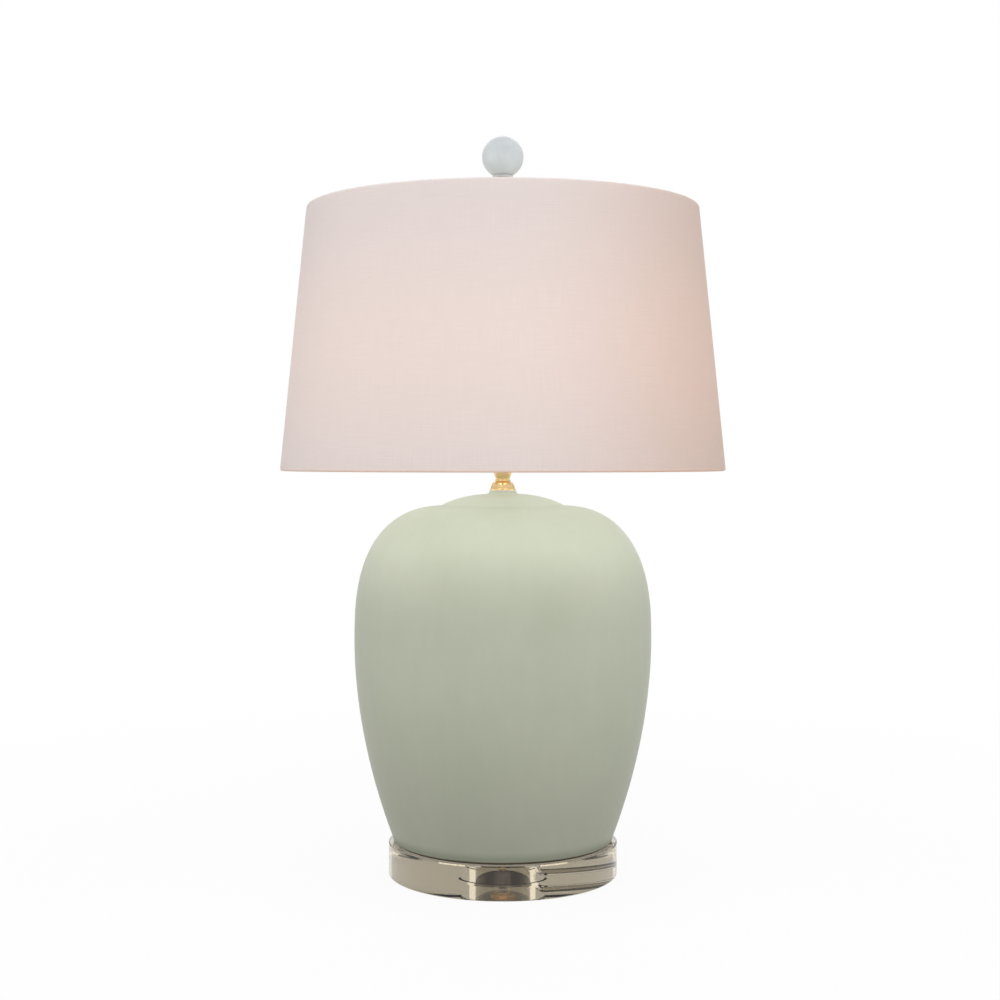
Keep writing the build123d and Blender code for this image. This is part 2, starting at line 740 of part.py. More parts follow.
def cone_r(z, depth=0.0):
    """Radius of the shade at a height, a depth inside its outer face."""
    outer = shade_bottom_r + (shade_top_r - shade_bottom_r) * (z - shade_bottom_z) / shade_h
    return outer - depth / lean_cos


bottom_wire_z = shade_bottom_z + hem_r
top_wire_z = shade_top_z - hem_r
bottom_wire_r = cone_r(bottom_wire_z, hem_r)
top_wire_r = cone_r(top_wire_z, hem_r)


def cone_wall(z0, z1, depth0, depth1):
    """A conical sheet between two heights and two depths inside the outer face."""
    return turned(run((cone_r(z0, depth0), z0), (cone_r(z1, depth0), z1),
                      (cone_r(z1, depth1), z1), (cone_r(z0, depth1), z0), (cone_r(z0, depth0), z0)))


def shade_arm_path():
    """Out from the fitter, then up and level again to the top ring."""
    level = fitter_z + fitter_t / 2
    end_r = top_wire_r - shade_wire_r - lining_gap
    points = [(fitter_r, level), (top_wire_r - arm_bend_in, level), (top_wire_r - arm_bend_out, top_wire_z),
              (end_r, top_wire_z)]
    return FilletPolyline(*[at(r, z) for r, z in points], radius=arm_bend_r)


def shade_arms():
    path = shade_arm_path()
    section = Plane(origin=path @ 0, z_dir=path % 0) * Circle(arm_r)
    arm = sweep(section, path=path)
    return [Rot(0, 0, arm_start + k * 360 / arm_count) * arm for k in range(arm_count)]


def shade_cloth():
    """The outer cloth: a conical wall whose two edges are rolled round the wire rings."""
    wall = cone_wall(bottom_wire_z, top_wire_z, 0, shade_cloth_t)
    for centre_r, centre_z in ((bottom_wire_r, bottom_wire_z), (top_wire_r, top_wire_z)):
        wall += torus(centre_r, centre_z, hem_r) - torus(centre_r, centre_z, shade_wire_r + lining_gap)
    notch = Pos(top_wire_r - hem_r, 0, top_wire_z) * Rot(0, 90, 0) * Cylinder(
        arm_r + arm_notch_play, 2 * (shade_cloth_t + arm_notch_play))
    for k in range(arm_count):
        wall -= Rot(0, 0, arm_start + k * 360 / arm_count) * notch
    return wall


keep("shade_cloth", shade_cloth())
hem_band = 2 * hem_r + liner_hem_gap
keep("shade_liner", cone_wall(shade_bottom_z + hem_band, shade_top_z - hem_band,
                              shade_cloth_t + lining_gap, shade_cloth_t + lining_gap + shade_liner_t))
keep("shade_bottom_ring", torus(bottom_wire_r, bottom_wire_z, shade_wire_r))
keep("shade_top_ring", torus(top_wire_r, top_wire_z, shade_wire_r))
keep("shade_arms", *shade_arms())
keep("shade_fitter", ring(fitter_r, stud_r + fitter_hole_play, fitter_z, fitter_z + fitter_t))


# ---------------------------------------------------------------- finial
def finial_base():
    """Foot, neck, swelling, waist and cup in one turned curve, tapped from below, with a spike above."""
    z = finial_z
    step_r = finial_foot_r - finial_foot_step
    step_z = z + finial_foot_t + finial_foot_step / 2
    cup_z = z + finial_cup_h
    curve = Spline(at(step_r, step_z), at(finial_neck_r, z + finial_neck_h),
                   at(finial_bulge_r, z + finial_bulge_h), at(finial_waist_r, z + finial_waist_h),
                   at(finial_cup_r, cup_z - finial_cup_edge))
    body = turned(run((0, z), (finial_foot_r, z), (finial_foot_r, z + finial_foot_t), (step_r, step_z)), curve,
                  run((finial_cup_r, cup_z - finial_cup_edge), (finial_cup_r, cup_z), (0, cup_z), (0, z)))
    body += disc(finial_spike_r, cup_z, cup_z + finial_spike_h)
    return body - disc(stud_r + 2 * thread_fit, z, z + finial_thread_depth)


def stone_collar():
    """A flat ring hollowed on top to seat the ball."""
    body = ring(stone_collar_r, finial_spike_r + 2 * lining_gap, finial_top_z, finial_top_z + stone_collar_t)
    body = chamfer(body.edges().group_by(Axis.Z)[0].sort_by(SortBy.LENGTH)[-1], stone_collar_edge)
    return body - Pos(0, 0, ball_z) * Sphere(ball_r + lining_gap)


def stone_ball():
    ball = Pos(0, 0, ball_z) * Sphere(ball_r)
    way_top = finial_top_z + finial_spike_h + 2 * seat_gap
    return ball - disc(finial_spike_r + 2 * lining_gap, finial_top_z, way_top)


keep("finial_base", finial_base())
keep("finial_collar", stone_collar())
keep("finial_ball", stone_ball())

os.makedirs("parts", exist_ok=True)
for node, shape in parts.items():
    export_step(shape, f"parts/{node}.step")
print(len(parts), "nodes")
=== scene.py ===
"""A table lamp: a celadon ginger jar with a domed lid, on a thick clear acrylic disc.

A turned brass neck carries a linen empire shade, and a stone ball finial stands on top.
"""
import json
import math

import bmesh
import bpy
import numpy as np
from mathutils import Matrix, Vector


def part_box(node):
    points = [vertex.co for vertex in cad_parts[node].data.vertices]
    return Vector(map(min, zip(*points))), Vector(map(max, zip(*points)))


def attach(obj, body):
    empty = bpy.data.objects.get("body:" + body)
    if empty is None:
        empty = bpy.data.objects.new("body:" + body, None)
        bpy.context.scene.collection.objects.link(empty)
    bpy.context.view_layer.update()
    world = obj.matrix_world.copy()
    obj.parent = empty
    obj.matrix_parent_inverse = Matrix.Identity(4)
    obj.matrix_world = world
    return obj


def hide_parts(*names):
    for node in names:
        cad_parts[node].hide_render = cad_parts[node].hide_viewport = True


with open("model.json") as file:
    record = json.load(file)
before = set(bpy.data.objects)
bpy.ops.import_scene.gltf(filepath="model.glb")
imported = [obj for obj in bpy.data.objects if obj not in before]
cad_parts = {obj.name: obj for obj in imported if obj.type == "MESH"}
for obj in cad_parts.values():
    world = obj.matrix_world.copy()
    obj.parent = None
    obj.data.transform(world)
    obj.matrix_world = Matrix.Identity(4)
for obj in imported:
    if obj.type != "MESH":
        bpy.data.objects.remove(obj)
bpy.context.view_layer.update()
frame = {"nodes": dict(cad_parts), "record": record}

mm = 0.001
same_spot = 1e-7    # metres: points closer than this are one point
tiny = 1e-9         # metres: a smaller radius or difference counts as none


# ---------------------------------------------------------------- sizes, from the frame where it has them
def level(node, end):
    """The height of a node's underside (0) or top (1)."""
    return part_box(node)[end].z


def reach(node):
    """How far a node stands out from the lamp's axis, along X."""
    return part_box(node)[1].x


base_top = level("acrylic_base", 1)
foot_z = level("jar_body", 0)
seat_z = level("jar_body", 1)
boss_z = level("jar_lid", 1)
collar_z = level("collar_ring", 1)
neck_top_z = level("brass_neck", 1)
rod_r = reach("threaded_rod")
jar_hole_r = rod_r + 0.6 * mm
neck_hole_r = rod_r + 0.3 * mm

jar_belly_r = reach("jar_body")
jar_belly_z = 228.0 * mm
jar_foot_r = 106.5 * mm
jar_foot_round = 2.2 * mm
jar_foot_ring_w = 16.0 * mm
jar_foot_rise = 3.0 * mm
jar_seat_r = 60.5 * mm
jar_mouth_r = 50.0 * mm
jar_wall = 6.0 * mm
jar_floor = 8.0 * mm
jar_lower_power, jar_upper_power, jar_upper_root = 1.91, 2.65, 2.2

lid_r = reach("jar_lid")
lid_mid_r, lid_mid_h = 42.0 * mm, 7.6 * mm
lid_top_h = 12.2 * mm
lid_wall = 5.0 * mm
lid_skirt_h = 9.0 * mm
boss_r = 13.2 * mm

ring_collar_r = 12.9 * mm
stone_collar_r = 10.0 * mm
pin_r = 2.0 * mm
fine_pitch = 0.94 * mm    # 27 turns to the inch, on the rod and the harp's stud
bulb_pitch = 3.63 * mm    # 7 turns to the inch

shade_low, shade_high = level("shade_cloth", 0), level("shade_cloth", 1)
shade_h = shade_high - shade_low
shade_bottom_r, shade_top_r = 215.9 * mm, 190.5 * mm
shade_slant = math.hypot(shade_h, shade_bottom_r - shade_top_r)
lean_cos = shade_h / shade_slant
cloth_t = 0.6 * mm
liner_t = 0.8 * mm
wire_r = 1.6 * mm
hem_r = wire_r + cloth_t
lip_h = 5.4 * mm
lap_w = 12.0 * mm
lap_rise = 0.45 * mm
lap_ease = 0.8 * mm
bulb_z = 505.0 * mm


# ---------------------------------------------------------------- outlines: arrays of (radius, height)
def rounded(*corners, steps=5):
    """Straight runs through corners (radius, height, rounding).

    A corner with a rounding is eased from that far before it to that far after it by the parabola
    (1 - t)^2 start + 2 t (1 - t) corner + t^2 end.
    """
    spots = np.array([corner[:2] for corner in corners], float)
    bends = [corner[2] if len(corner) > 2 else 0 for corner in corners]
    out = [spots[:1]]
    t = np.linspace(0, 1, steps + 1)[:, None]
    for before, spot, after, bend in zip(spots, spots[1:], spots[2:], bends[1:]):
        if bend:
            start = spot + (before - spot) / np.linalg.norm(before - spot) * bend
            end = spot + (after - spot) / np.linalg.norm(after - spot) * bend
            out.append((1 - t) ** 2 * start + 2 * t * (1 - t) * spot + t ** 2 * end)
        else:
            out.append(spot[None])
    return np.vstack(out + [spots[-1:]])


def flowing(*spots, steps=8):
    """A smooth run through points: a Catmull-Rom cubic between each two neighbours.

    Each cubic leaves its two points in the directions that their own neighbours give.
    """
    p = np.array(spots, float)
    p = np.vstack([2 * p[0] - p[1], p, 2 * p[-1] - p[-2]])
    t = np.linspace(0, 1, steps, endpoint=False)[None, :, None]
    a, b, c, d = (p[k:len(p) - 3 + k, None, :] for k in range(4))
    bend = (2 * a - 5 * b + 4 * c - d) * t ** 2 + (3 * b - a - 3 * c + d) * t ** 3
    run = 0.5 * (2 * b + (c - a) * t + bend)
    return np.vstack([run.reshape(-1, 2), p[-2:-1]])


def bow(start, through, end, steps=24):
    """The circle's arc from one point through another to a third.

    Its centre is the point equally far from all three.
    """
    ax, ay, bx, by, cx, cy = *start, *through, *end
    det = 2 * (ax * (by - cy) + bx * (cy - ay) + cx * (ay - by))
    sa, sb, sc = ax * ax + ay * ay, bx * bx + by * by, cx * cx + cy * cy
    centre = np.array([(sa * (by - cy) + sb * (cy - ay) + sc * (ay - by)) / det,
                       (sa * (cx - bx) + sb * (ax - cx) + sc * (bx - ax)) / det])
    turns = np.unwrap([math.atan2(y - centre[1], x - centre[0]) for x, y in (start, through, end)])
    angle = np.linspace(turns[0], turns[2], steps + 1)
    return centre + math.dist(start, centre) * np.stack([np.cos(angle), np.sin(angle)], -1)


def ring_line(centre, radius, first, last, steps=16):
    """An arc between two angles in degrees: centre + radius (cos a, sin a)."""
    angle = np.radians(np.linspace(first, last, steps + 1))
    return np.array(centre) + radius * np.stack([np.cos(angle), np.sin(angle)], -1)


def joined(*runs):
    """Runs end to end, without the points that they share."""
    line = np.vstack([np.asarray(run, float).reshape(-1, 2) for run in runs])
    step = np.linalg.norm(np.diff(line, axis=0), axis=1)
    return line[np.concatenate([[True], step > same_spot])]


def above(z):
    """A function that gives a profile's point by radius, height above z and rounding, all in millimetres."""
    def at(r, h, rounding=0):
        """A corner for rounded()."""
        return r * mm, z + h * mm, rounding * mm
    return at


def plain(*points):
    """Points without their roundings."""
    return [point[:2] for point in points]


# ---------------------------------------------------------------- meshes
def skin(name, grid, uv=None, around=True, closed=True, crease=32.0):
    """A mesh over a grid of points [along, round], one quad to a cell.

    Doubles are merged, so seams close and rows that shrink to a point become poles.
    around joins the last column to the first, and closed the last row to the first. uv holds the cells'
    corners in metres, with one more row or column than the grid where that wraps.
    """
    rows, columns = grid.shape[:2]
    i = np.arange(rows - (not closed))[:, None]
    j = np.arange(columns - (not around))[None, :]
    steps = ((0, 0), (0, 1), (1, 1), (1, 0))
    quads = np.stack([(i + di) % rows * columns + (j + dj) % columns for di, dj in steps], -1)
    quads = quads.reshape(-1, 4)
    mesh = bpy.data.meshes.new(name)
    mesh.vertices.add(rows * columns)
    mesh.vertices.foreach_set("co", grid.reshape(-1))
    mesh.loops.add(quads.size)
    mesh.loops.foreach_set("vertex_index", quads.reshape(-1))
    mesh.polygons.add(len(quads))
    mesh.polygons.foreach_set("loop_start", np.arange(len(quads)) * 4)
    mesh.polygons.foreach_set("loop_total", np.full(len(quads), 4))
    if uv is not None:
        corners = np.stack([uv[i + di, j + dj] for di, dj in steps], -2)
        mesh.uv_layers.new(name="cloth").data.foreach_set("uv", corners.reshape(-1))
    mesh.update(calc_edges=True)
    work = bmesh.new()
    work.from_mesh(mesh)
    bmesh.ops.remove_doubles(work, verts=work.verts, dist=same_spot)
    work.to_mesh(mesh)
    work.free()
    mesh.shade_smooth()
    mesh.set_sharp_from_angle(angle=math.radians(crease))
    piece = bpy.data.objects.new(name, mesh)
    bpy.context.scene.collection.objects.link(piece)
    return piece


def turned(name, line, angles=192, shift=None, crease=32.0):
    """A profile turned about the lamp's axis: x = r cos a, y = r sin a, z = h.

    The profile runs anticlockwise, up the outside. Its ends lie on the axis, or else it closes on itself.
    angles is a count or the angles themselves. shift(r, h, a) gives how far each point moves out.
    UV is (a times the largest radius, length along the profile), in metres.
    """
    has_poles = line[0, 0] < tiny and line[-1, 0] < tiny
    if not has_poles and np.allclose(line[0], line[-1]):
        line = line[:-1]
    if np.isscalar(angles):
        angles = np.linspace(0, 2 * math.pi, angles, endpoint=False)
    r, h, a = np.broadcast_arrays(line[:, :1], line[:, 1:], angles[None, :])
    if shift is not None:
        r = r + shift(r, h, a) * (r > tiny)
    grid = np.stack([r * np.cos(a), r * np.sin(a), h], -1)
    ends = line if has_poles else np.vstack([line, line[:1]])
    along = np.concatenate([[0], np.cumsum(np.linalg.norm(np.diff(ends, axis=0), axis=1))])
    round_it = np.append(angles, angles[0] + 2 * math.pi) * line[:, 0].max()
    uv = np.stack(np.broadcast_arrays(round_it[None, :], along[:, None]), -1)
    return skin(name, grid, uv, closed=not has_poles, crease=crease)


def threaded(name, outer_r, depth, pitch, low, high, line_below, line_above, thread_rows=10, angles=48):
    """A turned piece with a screw thread between two heights.

    There r = R - depth (1 - fade (1 + cos(2 pi z / pitch - a)) / 2), where fade goes from 0 to 1 over
    one pitch at each end, so the plain profiles below and above meet the thread at its root.
    """
    rows = int((high - low) / pitch * thread_rows)
    thread = np.stack([np.full(rows + 1, outer_r), np.linspace(low, high, rows + 1)], -1)
    line = joined(line_below, thread, line_above)

    def groove(r, h, a):
        """How far a point moves: in by the whole depth at the root, and not at all at the crest."""
        inside = (h >= low - tiny) & (h <= high + tiny) & (np.abs(r - outer_r) < tiny)
        fade = np.clip(np.minimum(h - low, high - h) / pitch, 0, 1)
        wave = (1 + np.cos(2 * math.pi * (h / pitch) - a)) / 2
        return -depth * np.where(inside, 1 - fade * wave, 0)
    return turned(name, line, angles, groove, crease=60)


# ---------------------------------------------------------------- shader maths
def operator(operation):
    """A socket's method for a Math node, and its reflected form, where the socket comes second."""
    def forward(self, other):
        return self.finish.math(operation, self, other)

    def reflected(self, other):
        return self.finish.math(operation, other, self)
    return forward, reflected


class Signal:
    """A shader socket. Python's operators on it add Math nodes."""

    __add__, __radd__ = operator("ADD")
    __sub__, __rsub__ = operator("SUBTRACT")
    __mul__, __rmul__ = operator("MULTIPLY")
    __pow__, __rpow__ = operator("POWER")
    __gt__, __lt__ = operator("GREATER_THAN")

    def __init__(self, finish, socket):
        self.finish, self.socket = finish, socket

    def sine(self):
        """The sine of an angle in radians."""
        return self.finish.math("SINE", self)

    def within(self, low, high):
        """0 below low, 1 above high, and a smooth step between."""
        return self.finish.add("ShaderNodeMapRange", {"interpolation_type": "SMOOTHSTEP"},
                               {"Value": self, "From Min": low, "From Max": high})

    def near(self, middle, close, far):
        """1 closer to a middle than one distance, 0 beyond another, and a smooth step between."""
        return 1 - self.finish.math("ABSOLUTE", self - middle).within(close, far)


class Finish:
    """The node tree of a material, named as its slot in the record, or of the world."""

    def __init__(self, owner):
        if isinstance(owner, str):
            owner = bpy.data.materials.get(owner) or bpy.data.materials.new(owner)
        owner.use_nodes = True
        self.owner, self.tree = owner, owner.node_tree
        self.tree.nodes.clear()

    def add(self, kind, settings=None, sockets=None, out=0):
        """A node of a kind, with its settings, then its sockets' values or links. Gives one output."""
        node = self.tree.nodes.new(kind)
        for key, value in (settings or {}).items():
            setattr(node, key, value)
        for key, value in (sockets or {}).items():
            socket = node.inputs[key]
            if isinstance(value, Signal):
                self.tree.links.new(value.socket, socket)
            elif socket.type == "RGBA":
                socket.default_value = (*value, 1)
            else:
                socket.default_value = value
        return None if out is None else Signal(self, node.outputs[out])

    def math(self, operation, *values):
        """A Math node's result for one value or two."""
        return self.add("ShaderNodeMath", {"operation": operation}, dict(enumerate(values)))

    def shown(self):
        """1 for rays from the camera, in reflections and through clear pieces, and 0 for diffuse light."""
        path = self.add("ShaderNodeLightPath").socket.node.outputs
        seen, mirrored, through = (Signal(self, path[ray]) for ray in (
            "Is Camera Ray", "Is Glossy Ray", "Is Transmission Ray"))
        return self.math("MAXIMUM", self.math("MAXIMUM", seen, mirrored), through)

    def place(self, stretch=(1, 1, 1)):
        """Object coordinates in metres, stretched."""
        spot = self.add("ShaderNodeTexCoord", out="Object")
        return self.add("ShaderNodeMapping", {}, {"Vector": spot, "Scale": stretch})

    def parts(self, vector):
        """A vector's three numbers."""
        first = self.add("ShaderNodeSeparateXYZ", {}, {0: vector})
        return [Signal(self, socket) for socket in first.socket.node.outputs]

    def vector(self, x, y, z=0.0):
        """A vector from its three numbers."""
        return self.add("ShaderNodeCombineXYZ", {}, {0: x, 1: y, 2: z})

    def noise(self, vector, scale, detail=2.0, rough=0.5, warp=0.0):
        """Noise from 0 to 1, about 0.5 on average."""
        return self.add("ShaderNodeTexNoise", {}, {"Vector": vector, "Scale": scale, "Detail": detail,
                                                   "Roughness": rough, "Distortion": warp})

    def mix(self, share, first, second, blend="MIX"):
        """A colour between two, or blended from two, by a share from 0 to 1."""
        settings = {"data_type": "RGBA", "blend_type": blend}
        return self.add("ShaderNodeMix", settings, {0: share, 6: first, 7: second}, out=2)

    def shaded(self, colour, amount):
        """A colour made lighter or darker by a number near 1."""
        return self.mix(1.0, colour, self.vector(amount, amount, amount), "MULTIPLY")

    def bump(self, height, depth, below=None):
        """A relief whose height of 1 stands depth metres high, over another."""
        sockets = {"Height": height, "Distance": depth, "Strength": 1.0}
        if below is not None:
            sockets["Normal"] = below
        return self.add("ShaderNodeBump", {}, sockets)

    def surface(self, **values):
        """A Principled surface, with its sockets named in lower case with underscores."""
        sockets = {}
        for name, value in values.items():
            sockets[name.replace("_", " ").title().replace("Ior", "IOR")] = value
        return self.add("ShaderNodeBsdfPrincipled", {}, sockets)

    def done(self, surface, inside=None):
        """End a material with a surface and, for a clear piece, what fills it."""
        ends = {"Surface": surface} if inside is None else {"Surface": surface, "Volume": inside}
        self.add("ShaderNodeOutputMaterial", {}, ends, out=None)
        return self.owner


# ---------------------------------------------------------------- finishes
def celadon():
    """A satin celadon glaze in clouds and runs of green, with fine dark flecks.

    It is painted paler up the jar and darker towards the foot, as painted light and shade. Above the foot it
    is darker, partly pooled glaze and partly painted shadow where the jar meets the disc, and in the lid's
    crease it is darker, partly pooled glaze and partly painted shade. It thins on the boss's rim.
    The foot's edge is bare clay.
    """
    deep, pale, run_green = (0.565, 0.605, 0.482), (0.600, 0.635, 0.512), (0.520, 0.555, 0.440)
    pooled_and_shadow, thin = (0.24, 0.27, 0.195), (0.72, 0.73, 0.62)
    dark_fleck, clay = (0.26, 0.24, 0.17), (0.15, 0.125, 0.09)
    foot_shade_end, top_light_start = 210 * mm, 240 * mm
    f = Finish("celadon_glaze")
    spot = f.place()
    z = f.parts(spot)[2]
    cloud = f.noise(spot, 9.0, 3.0, 0.55)
    run = f.noise(f.place((70, 70, 9)), 1.0, 3.0, 0.6)
    fleck = f.noise(spot, 900.0, 1.0) > 0.735
    wave = f.noise(spot, 26.0, 2.0, 0.5)
    pits = f.noise(spot, 480.0, 2.0, 0.6)
    # partly pooled glaze and partly painted shadow: darker just above the foot, where the jar meets the disc
    foot_pool_and_shadow = (1 - z.within(foot_z + 1 * mm, foot_z + 14 * mm)) ** 1.5
    # partly pooled glaze and partly painted shade: a darker band in the crease where the lid meets the
    # shoulder
    crease = z.near(seat_z, 0.2 * mm, 2.5 * mm)
    rim = z.near(boss_z - 0.7 * mm, 0.2 * mm, 1.5 * mm)
    bare = 1 - z.within(foot_z + 1.2 * mm, foot_z + 1.9 * mm)
    colour = f.mix(cloud.within(0.3, 0.7), deep, pale)
    colour = f.mix((run - 0.5) * 0.5 + 0.12, colour, run_green)
    # painted light and shade: the glaze is made paler up the jar and darker towards the foot, as the light
    # falls from above
    lower, upper = z.within(foot_z, foot_shade_end), z.within(top_light_start, boss_z)
    colour = f.shaded(colour, 0.84 + lower * 0.15 + upper * 0.25)
    # painted shadow and shade, partly pooled glaze: darkens the foot and the lid's crease
    colour = f.mix(foot_pool_and_shadow * 0.7 + crease * 0.06, colour, pooled_and_shadow)
    colour = f.mix(rim * 0.5, colour, thin)
    colour = f.mix(fleck * 0.18, colour, dark_fleck)
    colour = f.mix(bare, colour, clay)
    relief = f.bump(pits, 0.02 * mm, f.bump(wave, 0.35 * mm))
    rough = 0.46 + (cloud - 0.5) * 0.10 + pits * 0.06 + bare * 0.35
    return f.done(f.surface(base_color=colour, roughness=rough, normal=relief, specular_ior_level=0.28))


def metal(name, bright, dark, rough, on_lathe=False, relief=0.004 * mm, patina=0.25):
    """Metal with a little tarnish in soft patches.

    It has either lathe rings, noise by height and radius, or a fine grain.
    """
    rings_per_metre, grains_per_metre = 1800, 2600.0
    f = Finish(name)
    spot = f.place()
    if on_lathe:
        x, y, z = f.parts(spot)
        across = (x * x + y * y) ** 0.5
        grain = f.noise(f.vector(z * rings_per_metre, across * rings_per_metre), 1.0, 3.0, 0.7)
    else:
        grain = f.noise(spot, grains_per_metre, 3.0, 0.6)
    tarnish = f.noise(spot, 120.0, 4.0, 0.6)
    colour = f.mix(tarnish.within(0.42, 0.78) * patina, bright, dark)
    colour = f.shaded(colour, 0.94 + grain * 0.12)
    gloss = rough + (grain - 0.5) * 0.12 + tarnish * 0.06
    return f.done(f.surface(base_color=colour, metallic=1.0, roughness=gloss, normal=f.bump(grain, relief)))


def moulded(name, colour, rough, relief=0.02 * mm, vary=0.08):
    """A plain moulded or painted surface with a fine grain and slight unevenness of tone and gloss."""
    f = Finish(name)
    spot = f.place()
    fine = f.noise(spot, 700.0, 2.0, 0.6)
    wide = f.noise(spot, 40.0, 3.0, 0.5)
    colour = f.shaded(colour, 1 - vary / 2 + wide * vary)
    return f.done(f.surface(base_color=colour, roughness=rough + (fine - 0.5) * 0.1,
                            normal=f.bump(fine, relief)))


def acrylic():
    """Clear cast acrylic: polished, with a faint ripple.

    The taupe on its surface and through its depth is painted: it stands in for the dim surroundings seen
    through it.
    """
    # painted: both taupes stand in for the dim surroundings seen through the clear disc
    painted_surround_surface, painted_surround_depth, depth_density = (0.54, 0.50, 0.42), (0.385, 0.30, 0.11), 3.3
    f = Finish("clear_acrylic")
    ripple = f.noise(f.place((30, 30, 8)), 1.0, 2.0, 0.5)
    depth = f.add("ShaderNodeVolumeAbsorption", {}, {"Color": painted_surround_depth, "Density": depth_density})
    surface = f.surface(base_color=painted_surround_surface, roughness=0.0, transmission_weight=1.0, ior=1.491,
                        normal=f.bump(ripple, 0.02 * mm))
    return f.done(surface, depth)


def felt():
    """Pressed felt: short tangled fibres in two browns, in tufts, with a warm sheen."""
    dark, light, sheen = (0.13, 0.070, 0.034), (0.30, 0.175, 0.085), (0.60, 0.42, 0.28)
    f = Finish("brown_felt")
    spot = f.place()
    fibre = f.noise(spot, 900.0, 4.0, 0.75, 1.5)
    tuft = f.noise(spot, 150.0, 3.0, 0.6)
    colour = f.shaded(f.mix(fibre.within(0.35, 0.7), dark, light), 0.8 + tuft * 0.4)
    return f.done(f.surface(base_color=colour, roughness=0.95,
                            sheen_weight=0.25, sheen_roughness=0.4, sheen_tint=sheen,
                            normal=f.bump(fibre, 0.25 * mm, f.bump(tuft, 0.3 * mm))))


def linen():
    """Plain-woven linen on a stiff backing: warp and weft threads with slubs, glowing softly from inside.

    The threads are sines of the cloth's own UV, and a checker of two sines says which of them is on top.
    The glow is painted light standing in for the bulb's light through the cloth, and the lower hem gets a
    painted lighter band. Towards +X the cloth is painted a darker tan, as painted shade.
    """
    pitch = 0.62 * mm
    cool, painted_shade_tan, glow_tint = (0.885, 0.80, 0.785), (0.69, 0.51, 0.425), (1.0, 0.46, 0.24)
    painted_shade_from, painted_shade_to = 0.0, 230 * mm
    glow_reach = 150 * mm
    f = Finish("shade_linen")
    u, v, _ = f.parts(f.add("ShaderNodeUVMap", {"uv_map": "cloth"}))
    x, _, z = f.parts(f.place())
    wander = f.noise(f.vector(u * 60, v * 60), 1.0, 2.0) * 0.35
    warp = (u * (2 * math.pi / pitch) + wander * 2).sine()
    weft = (v * (2 * math.pi / pitch) + wander * 2).sine()
    over = ((u * (math.pi / pitch)).sine() * (v * (math.pi / pitch)).sine()) > 0.0
    warp_slub = f.noise(f.vector(u * 1600, v * 28), 1.0, 2.0, 0.6)
    weft_slub = f.noise(f.vector(u * 28, v * 1600), 1.0, 2.0, 0.6)
    thread = (0.5 + 0.5 * warp) * (over * 0.6 + 0.4) + (0.5 + 0.5 * weft) * (1 - over * 0.6)
    height = thread * 0.5 + warp_slub * 0.8 + weft_slub * 0.9
    slub = (warp_slub - 0.5) * 0.35 + (weft_slub - 0.5) * 0.45
    # painted shade: the cloth turns a darker tan towards +X, as on the side where less light falls
    colour = f.mix(x.within(painted_shade_from, painted_shade_to) * 0.8, cool, painted_shade_tan)
    colour = f.shaded(colour, 1.0 + slub * 0.22 + (thread - 0.7) * 0.05)
    # painted light: the cloth's glow, brightest level with the bulb, stands in for the bulb's light through
    # it
    glow = z.near(bulb_z, 0.0, glow_reach)
    # painted light: extra glow on the lower hem, standing in for light bounced up from the floor
    painted_hem_light = 1 - z.within(shade_low + 0.5 * mm, shade_low + 3.5 * mm)
    lit = f.shaded(glow_tint, (0.25 + glow * 0.75 + painted_hem_light * 1.4) * (1.0 + slub * 0.6))
    return f.done(f.surface(base_color=colour, roughness=0.92, sheen_weight=0.25, sheen_roughness=0.5,
                            normal=f.bump(height, 0.09 * mm), emission_color=lit, emission_strength=0.11))


def styrene():
    """The shade's white plastic lining: smooth, and glowing most level with the bulb."""
    glow_reach = 170 * mm
    f = Finish("shade_styrene")
    spot = f.place()
    fine = f.noise(spot, 300.0, 2.0)
    glow = f.parts(spot)[2].near(bulb_z, 0.0, glow_reach)
    lit = f.shaded((1.0, 1.0, 0.99), 0.4 + glow * 0.6)
    return f.done(f.surface(base_color=(0.64, 0.64, 0.63), roughness=0.55 + (fine - 0.5) * 0.1,
                            normal=f.bump(fine, 0.03 * mm), emission_color=lit, emission_strength=0.48))


def frosted():
    """A frosted bulb, lit: dim at its neck and bright above."""
    neck_z, bright_z = level("bulb_glass", 0) + 10 * mm, level("bulb_glass", 0) + 60 * mm
    f = Finish("frosted_glass")
    spot = f.place()
    fine = f.noise(spot, 1500.0, 2.0)
    bright = f.parts(spot)[2].within(neck_z, bright_z)
    lit = f.shaded((1.0, 0.99, 0.96), 0.35 + bright * 0.65)
    return f.done(f.surface(base_color=(0.60, 0.595, 0.58), roughness=0.45 + fine * 0.1,
                            normal=f.bump(fine, 0.01 * mm), emission_color=lit, emission_strength=0.24))


def stone(name, node, pale, deep, vein, scale, gloss):
    """Polished pale stone: cloudy depth, soft veins and a clear surface, painted darker at the top and paler
    underneath.
    """
    f = Finish(name)
    spot = f.place()
    z = f.parts(spot)[2]
    cloud = f.noise(spot, scale, 5.0, 0.6, 0.8)
    drift = f.noise(spot, scale * 2.3, 4.0, 0.55, 2.5)
    fine = f.noise(spot, 500.0, 2.0)
    colour = f.mix(cloud.within(0.3, 0.72), deep, pale)
    colour = f.mix(drift.near(0.5, 0.0, 0.035) * 0.3, colour, vein)
    # painted shade and light: darker at the top and paler at the underside, against the light from above
    colour = f.shaded(colour, 1.10 - z.within(level(node, 0), level(node, 1)) * 0.20)
    glow = {"subsurface_weight": 0.7, "subsurface_radius": (0.02, 0.02, 0.02), "subsurface_scale": 1.0}
    return f.done(f.surface(base_color=colour, roughness=gloss + cloud * 0.08, specular_ior_level=0.3,
                            normal=f.bump(fine, 0.006 * mm), **glow))


